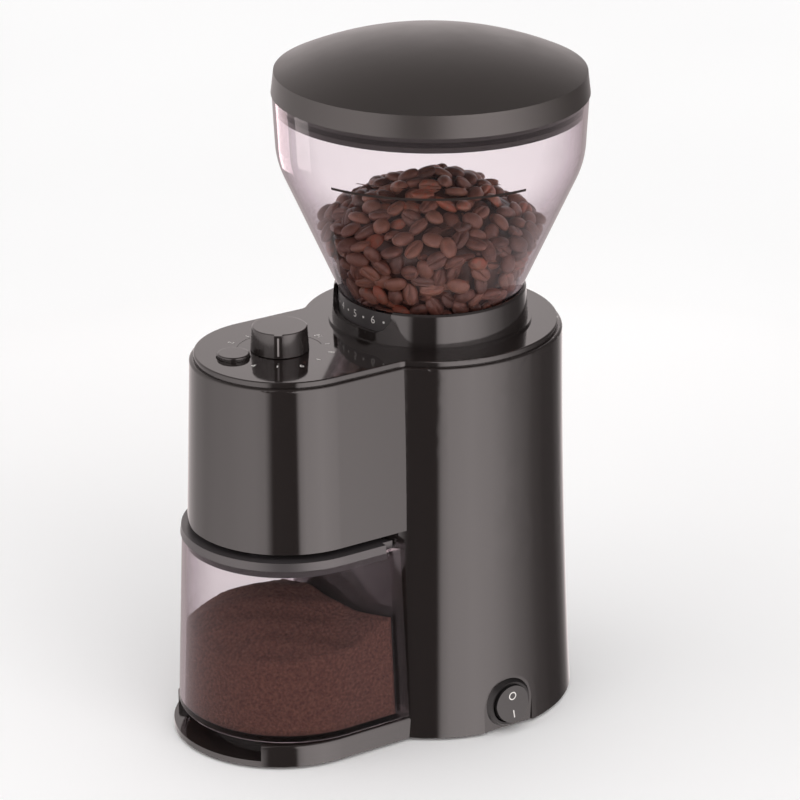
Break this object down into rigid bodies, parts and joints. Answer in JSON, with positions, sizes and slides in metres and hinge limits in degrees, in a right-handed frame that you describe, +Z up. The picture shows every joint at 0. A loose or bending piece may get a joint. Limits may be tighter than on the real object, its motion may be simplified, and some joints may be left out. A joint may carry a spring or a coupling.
{
  "type": "burr coffee grinder",
  "caption": "Upright electric burr coffee grinder with a clear bean hopper, adjustable conical burrs, amount dial, mains rocker and a pull-out container for the ground coffee.",
  "frame": {"origin": "centre of the bounding box, at the underside of the feet", "axes": "+Z up, the mains switch faces -Y, the grounds container and the controls are on the -X side"},
  "size_m": [0.1994, 0.14, 0.3101],
  "materials": {
    "gloss_black_plastic": "high-gloss moulded",
    "satin_grey_plastic": "satin moulded",
    "clear_plastic": "clear moulded",
    "black_plastic": "moulded",
    "knob_plastic": "satin moulded",
    "switch_plastic": "moulded",
    "gear_nylon": "moulded",
    "rubber": "moulded",
    "burr_steel": "hardened and ground",
    "steel": "zinc plated",
    "motor_steel": "deep drawn, plated",
    "ferrite": "sintered",
    "brass": "machined",
    "board_laminate": "solder-masked"
  },
  "bodies": {
    "housing": {"main_housing": "gloss_black_plastic", "dispenser_housing": "gloss_black_plastic", "top_cover": "gloss_black_plastic", "hopper_collar": "gloss_black_plastic", "base_plate": "gloss_black_plastic", "feet": "rubber", "base_screws": "steel", "cord_gland": "rubber", "burr_chamber": "black_plastic", "chute": "black_plastic", "chamber_screws": "steel", "shaft_bush": "brass", "shaft_seal": "rubber", "shaft_bearing": "steel", "idler_pin": "steel", "gearbox_housing": "black_plastic", "gearbox_cover": "black_plastic", "gearbox_screws": "steel", "motor_can": "motor_steel", "motor_magnets": "ferrite", "motor_end_cap": "black_plastic", "motor_cushion": "rubber", "motor_screws": "steel", "control_board": "board_laminate", "board_screws": "steel", "dial_potentiometer": "switch_plastic", "tact_switch": "switch_plastic", "switch_body": "switch_plastic"},
    "burr_drive": {"burr_shaft": "steel", "output_gear": "gear_nylon", "sweeper": "black_plastic", "cone_burr": "burr_steel", "burr_nut": "steel"},
    "idler": {"idler_gear": "gear_nylon"},
    "motor_rotor": {"motor_shaft": "steel", "motor_pinion": "brass"},
    "grind_ring": {"grind_ring": "black_plastic"},
    "burr_carrier": {"burr_carrier": "black_plastic", "ring_burr": "burr_steel"},
    "hopper": {"hopper": "clear_plastic"},
    "lid": {"hopper_lid": "satin_grey_plastic", "lid_seal": "rubber"},
    "container": {"container": "clear_plastic", "container_lid": "satin_grey_plastic"},
    "dial": {"dial_knob": "knob_plastic", "dial_shaft": "steel"},
    "start_button": {"start_button": "knob_plastic", "button_plunger": "black_plastic"},
    "rocker": {"rocker": "switch_plastic"}
  },
  "joints": [
    {"name": "burr_spin", "type": "hinge", "parent": "housing", "child": "burr_drive", "pos_m": [0.0297, 0, 0.12], "axis": [0, 0, 1], "continuous": true},
    {"name": "idler_spin", "type": "hinge", "parent": "housing", "child": "idler", "pos_m": [0.0537, 0, 0.11], "axis": [0, 0, 1], "continuous": true},
    {"name": "motor_spin", "type": "hinge", "parent": "housing", "child": "motor_rotor", "pos_m": [0.0297, 0, 0.06], "axis": [0, 0, 1], "continuous": true},
    {"name": "grind_turn", "type": "hinge", "parent": "housing", "child": "grind_ring", "pos_m": [0.0297, 0, 0.19], "axis": [0, 0, 1], "range_deg": [-60, 60]},
    {"name": "burr_adjust", "type": "slide", "parent": "housing", "child": "burr_carrier", "axis": [0, 0, 1], "range_m": [-0.0006, 0.0006]},
    {"name": "hopper_lift", "type": "slide", "parent": "grind_ring", "child": "hopper", "axis": [0, 0, 1], "range_m": [0, 0.05]},
    {"name": "lid_lift", "type": "slide", "parent": "hopper", "child": "lid", "axis": [0, 0, 1], "range_m": [0, 0.06]},
    {"name": "container_slide", "type": "slide", "parent": "housing", "child": "container", "axis": [-1, 0, 0], "range_m": [0, 0.13]},
    {"name": "dial_turn", "type": "hinge", "parent": "housing", "child": "dial", "pos_m": [-0.0483, 0.002, 0.185], "axis": [0, 0, 1], "range_deg": [-135, 135]},
    {"name": "start_press", "type": "slide", "parent": "housing", "child": "start_button", "axis": [0, 0, -1], "range_m": [0, 0.0012], "stiffness_N_per_m": 400, "springref_m": -0.002},
    {"name": "switch_rock", "type": "hinge", "parent": "housing", "child": "rocker", "pos_m": [0.0297, -0.0634, 0.0135], "axis": [1, 0, 0], "range_deg": [0, 16]}
  ],
  "couplings": [
    {"joint": "idler_spin", "follows": "motor_spin", "ratio": -0.33333},
    {"joint": "burr_spin", "follows": "motor_spin", "ratio": 0.13725},
    {"joint": "burr_adjust", "follows": "grind_turn", "m_per_rad": 0.00057295}
  ]
}
